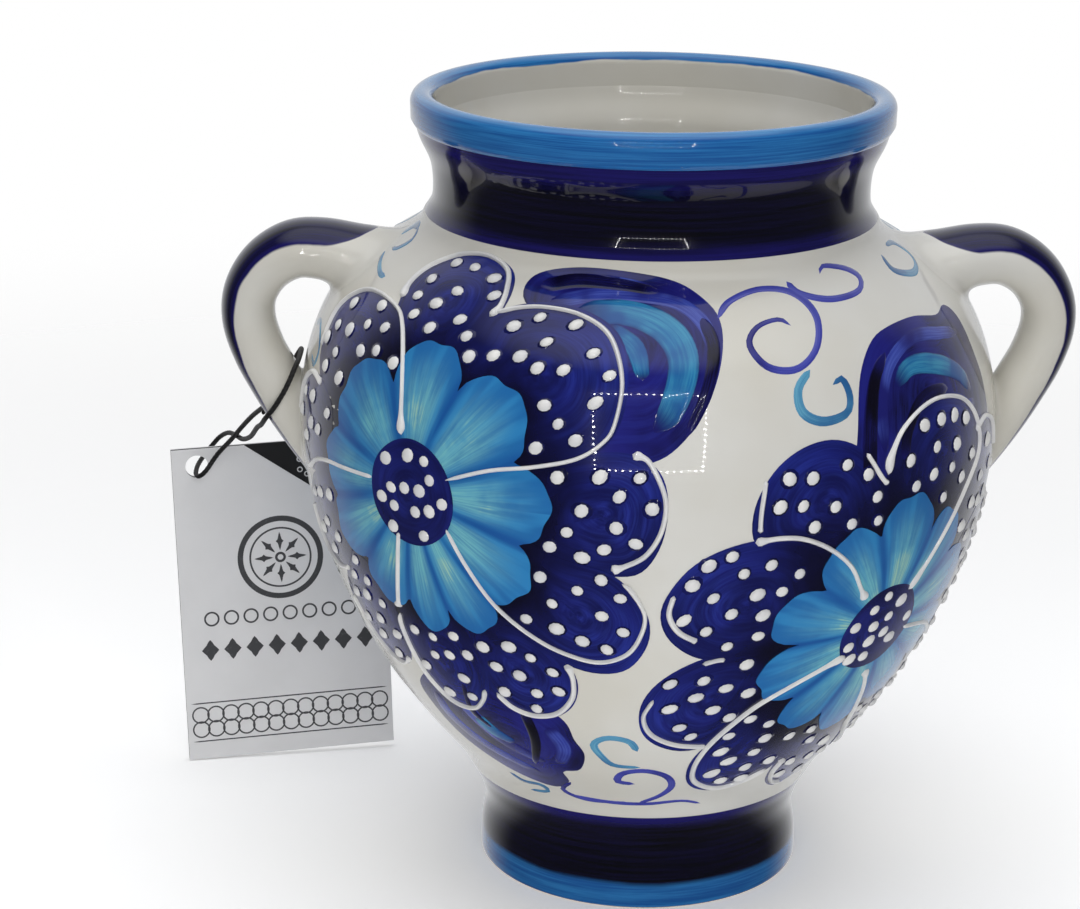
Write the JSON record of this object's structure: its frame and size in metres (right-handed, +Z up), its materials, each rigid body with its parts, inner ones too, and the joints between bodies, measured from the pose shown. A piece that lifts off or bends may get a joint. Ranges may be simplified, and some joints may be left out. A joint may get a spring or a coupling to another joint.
{
  "type": "two-handled pottery vase",
  "caption": "Round-bellied pottery vase with a footed base, flared neck, rolled rim, ear-shaped handles and a swing tag on a cord.",
  "frame": {"origin": "centre of the foot's underside, on the vase's axis", "axes": "+Z up along the axis of the pot, handles on +X and -X, the painted front faces -Y"},
  "size_m": [0.2225, 0.1652, 0.1901],
  "materials": {
    "white_glaze": "glossy cream-white glaze, hand-painted",
    "navy_glaze": "glossy cobalt-black glaze",
    "blue_glaze": "brushed mid-blue glaze",
    "handle_glaze": "cream glaze with a navy stripe on the outside",
    "card": "uncoated light grey card",
    "black_card": "matt black printed card",
    "waxed_cord": "black waxed cotton cord"
  },
  "bodies": {
    "vase": {"foot_ring": "navy_glaze", "belly": "white_glaze", "neck_collar": "navy_glaze", "rolled_rim": "blue_glaze", "handle_left": "handle_glaze", "handle_right": "handle_glaze"},
    "tag": {"tag_back_leaf": "card", "tag_cord": "waxed_cord", "cord_knot": "waxed_cord"},
    "tag_inner": {"tag_inner_leaf": "black_card"},
    "tag_front": {"tag_front_leaf": "card"}
  },
  "joints": [
    {"name": "tag_swing", "type": "hinge", "parent": "vase", "child": "tag", "pos_m": [-0.0829, 0, 0.1253], "axis": [0, 1, 0], "range_deg": [0, 60]},
    {"name": "inner_leaf_fold", "type": "hinge", "parent": "tag", "child": "tag_inner", "pos_m": [-0.11788, 0.04867, 0.00022], "axis": [0.0389, -0.0508, -0.998], "range_deg": [0, 10]},
    {"name": "front_leaf_fold", "type": "hinge", "parent": "tag_inner", "child": "tag_front", "pos_m": [-0.11772, 0.04789, 0.00026], "axis": [0.0389, -0.0508, -0.998], "range_deg": [0, 12]}
  ]
}
